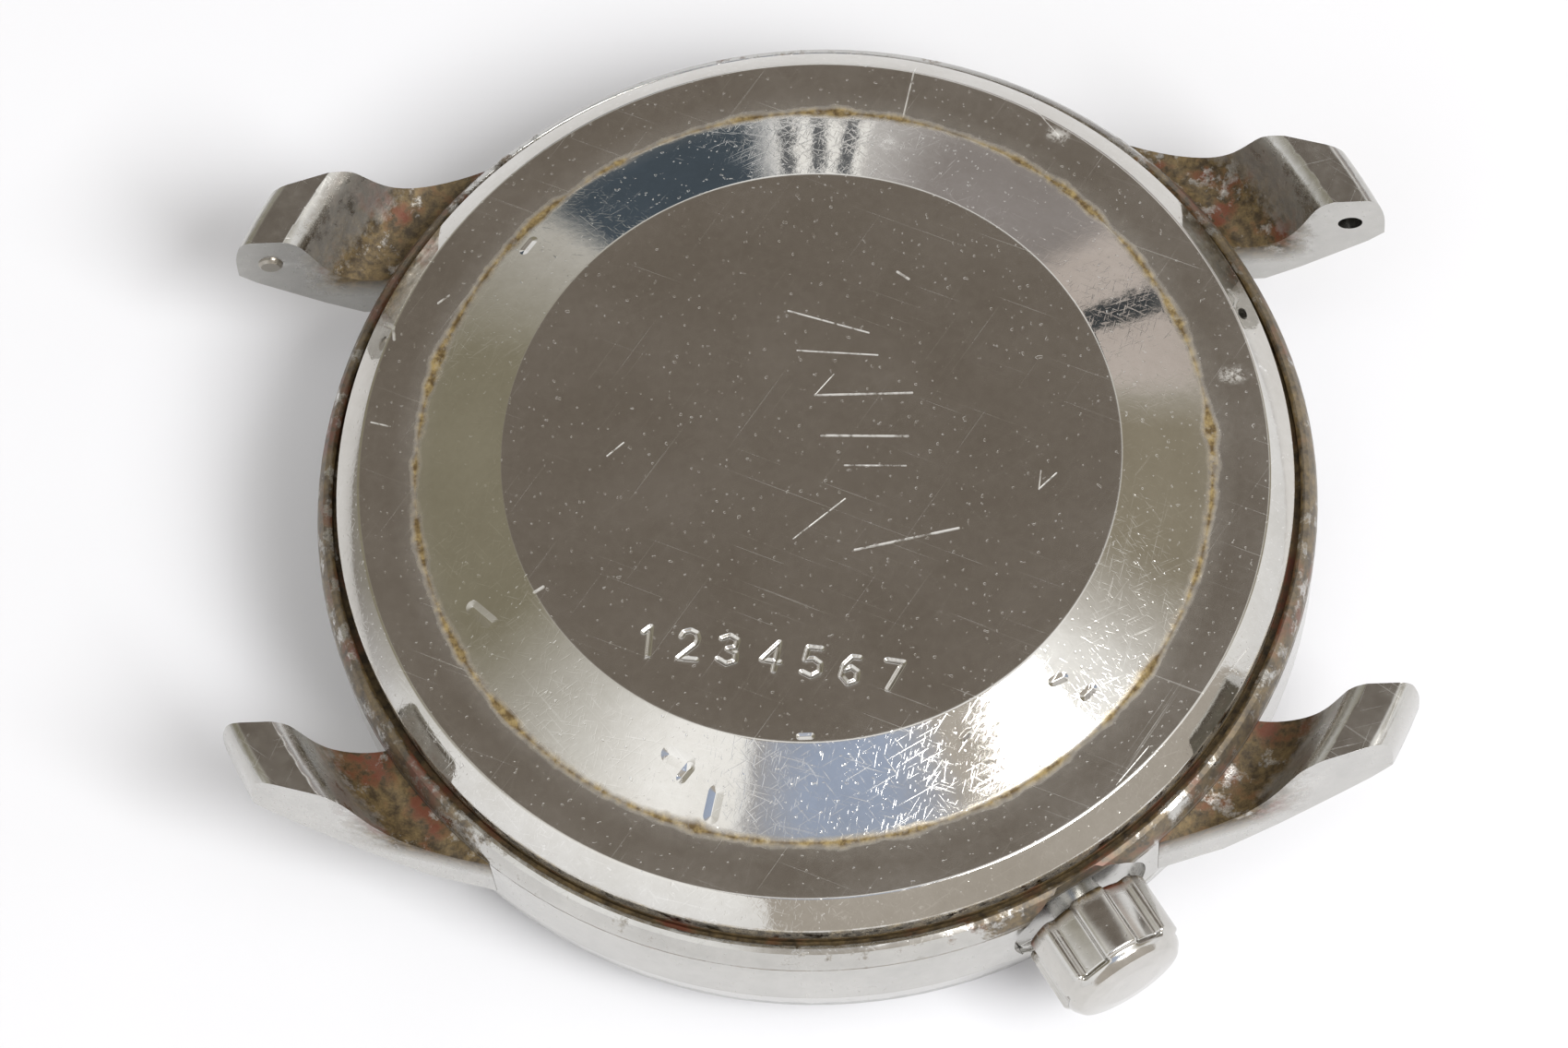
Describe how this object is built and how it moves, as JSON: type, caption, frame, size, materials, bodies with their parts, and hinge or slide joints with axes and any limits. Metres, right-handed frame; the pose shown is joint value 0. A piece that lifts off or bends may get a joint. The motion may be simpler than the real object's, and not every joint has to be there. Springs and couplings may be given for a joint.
{
  "type": "mechanical wristwatch head",
  "caption": "Self-winding wristwatch head without its strap: round steel case with four lugs, screw-down back, fluted crown and a geared movement that turns the hands.",
  "frame": {"origin": "centre of the flat outer face of the crystal, which the watch lies on", "axes": "+Z out of the case back, +X to six o'clock, +Y to nine o'clock; the crown stands at four o'clock"},
  "size_m": [0.0426, 0.0377, 0.011],
  "materials": {
    "case_steel": "worn polished",
    "back_steel": "polished, scratched",
    "crown_steel": "worn polished",
    "glass": "polished",
    "gasket": "matte",
    "movement_steel": "satin",
    "brass": "satin",
    "blue_steel": "blued",
    "dial_paint": "sunray silver",
    "marker": "polished",
    "jewel": "polished",
    "ring_plastic": "matte"
  },
  "bodies": {
    "case": {"case_middle": "case_steel", "lugs": "case_steel", "bezel": "case_steel", "crystal": "glass", "crystal_gasket": "gasket", "case_back": "back_steel", "case_back_gasket": "gasket", "spring_bar_stub": "case_steel", "crown_tube": "case_steel", "movement_ring": "ring_plastic", "dial": "dial_paint", "dial_ring": "dial_paint", "hour_markers": "marker", "main_plate": "movement_steel", "barrel_bridge": "movement_steel", "train_bridge": "movement_steel", "balance_cock": "movement_steel", "pallet_bridge": "movement_steel", "jewels": "jewel", "bridge_screws": "blue_steel", "rotor_post": "movement_steel", "rotor_screw": "blue_steel"},
    "clutch": {"clutch_wheel": "movement_steel"},
    "crown_and_stem": {"crown": "crown_steel", "crown_gasket": "gasket", "winding_stem": "movement_steel"},
    "lever": {"setting_lever": "movement_steel"},
    "seconds": {"fourth_wheel": "brass", "seconds_hand": "marker"},
    "minutes": {"centre_wheel": "brass", "cannon_pinion": "movement_steel", "minute_hand": "marker"},
    "hours": {"hour_wheel": "brass", "hour_hand": "marker"},
    "minute_works": {"minute_wheel": "brass"},
    "setting": {"setting_wheel": "movement_steel"},
    "third": {"third_wheel": "brass"},
    "barrel": {"barrel_drum": "brass", "barrel_cover": "brass", "mainspring": "movement_steel"},
    "escape": {"escape_wheel": "movement_steel"},
    "pallets": {"pallet_fork": "movement_steel"},
    "balance": {"balance_wheel": "brass", "hairspring": "blue_steel"},
    "winding_rotor": {"rotor": "movement_steel"},
    "reduction": {"reduction_wheel": "brass"},
    "ratchet": {"ratchet_wheel": "movement_steel", "barrel_arbor": "movement_steel", "ratchet_screw": "blue_steel"}
  },
  "joints": [
    {"name": "crown_turn", "type": "hinge", "parent": "case", "child": "clutch", "pos_m": [0.0045, -0.00779, 0.0054], "axis": [0.5, -0.866, 0], "continuous": true},
    {"name": "crown_pull", "type": "slide", "parent": "clutch", "child": "crown_and_stem", "axis": [0.5, -0.866, 0], "range_m": [0, 0.001]},
    {"name": "setting_lever_swing", "type": "hinge", "parent": "case", "child": "lever", "pos_m": [0.00806, -0.00955, 0.00415], "axis": [0, 0, 1], "range_deg": [0, 26]},
    {"name": "seconds_turn", "type": "hinge", "parent": "case", "child": "seconds", "pos_m": [0, 0, 0.0074], "axis": [0, 0, 1], "continuous": true},
    {"name": "minutes_turn", "type": "hinge", "parent": "case", "child": "minutes", "pos_m": [0, 0, 0.006], "axis": [0, 0, 1], "continuous": true},
    {"name": "hours_turn", "type": "hinge", "parent": "case", "child": "hours", "pos_m": [0, 0, 0.0041], "axis": [0, 0, 1], "continuous": true},
    {"name": "minute_works_turn", "type": "hinge", "parent": "case", "child": "minute_works", "pos_m": [0.00144, -0.00249, 0.0043], "axis": [0, 0, 1], "continuous": true},
    {"name": "setting_turn", "type": "hinge", "parent": "case", "child": "setting", "pos_m": [0.00312, -0.0054, 0.0043], "axis": [0, 0, 1], "continuous": true},
    {"name": "third_turn", "type": "hinge", "parent": "case", "child": "third", "pos_m": [0.00105, 0.00456, 0.0071], "axis": [0, 0, 1], "continuous": true},
    {"name": "barrel_turn", "type": "hinge", "parent": "case", "child": "barrel", "pos_m": [0.00669, 0.00059, 0.006], "axis": [0, 0, 1], "continuous": true},
    {"name": "escape_turn", "type": "hinge", "parent": "case", "child": "escape", "pos_m": [-0.00442, -0.00086, 0.0068], "axis": [0, 0, 1], "continuous": true},
    {"name": "pallet_rock", "type": "hinge", "parent": "case", "child": "pallets", "pos_m": [-0.00587, 0.00108, 0.0068], "axis": [0, 0, 1], "range_deg": [-5, 5]},
    {"name": "balance_swing", "type": "hinge", "parent": "case", "child": "balance", "pos_m": [-0.00779, 0.00363, 0.0073], "axis": [0, 0, 1], "range_deg": [-150, 150]},
    {"name": "rotor_spin", "type": "hinge", "parent": "case", "child": "winding_rotor", "pos_m": [0, 0, 0.0089], "axis": [0, 0, 1], "continuous": true},
    {"name": "reduction_turn", "type": "hinge", "parent": "case", "child": "reduction", "pos_m": [0.0034, 0.00295, 0.0084], "axis": [0, 0, 1], "continuous": true},
    {"name": "ratchet_turn", "type": "hinge", "parent": "case", "child": "ratchet", "pos_m": [0.00669, 0.00059, 0.0082], "axis": [0, 0, 1], "continuous": true}
  ],
  "couplings": [
    {"joint": "setting_lever_swing", "follows": "crown_pull", "rad_per_m": 447},
    {"joint": "third_turn", "follows": "seconds_turn", "ratio": -0.125},
    {"joint": "minutes_turn", "follows": "seconds_turn", "ratio": 0.016667},
    {"joint": "hours_turn", "follows": "seconds_turn", "ratio": 0.0013889},
    {"joint": "minute_works_turn", "follows": "seconds_turn", "ratio": -0.0055556},
    {"joint": "setting_turn", "follows": "seconds_turn", "ratio": 0.01},
    {"joint": "barrel_turn", "follows": "seconds_turn", "ratio": -0.0027778},
    {"joint": "escape_turn", "follows": "seconds_turn", "ratio": -10},
    {"joint": "reduction_turn", "follows": "rotor_spin", "ratio": -0.5},
    {"joint": "ratchet_turn", "follows": "rotor_spin", "ratio": 0.10417}
  ]
}
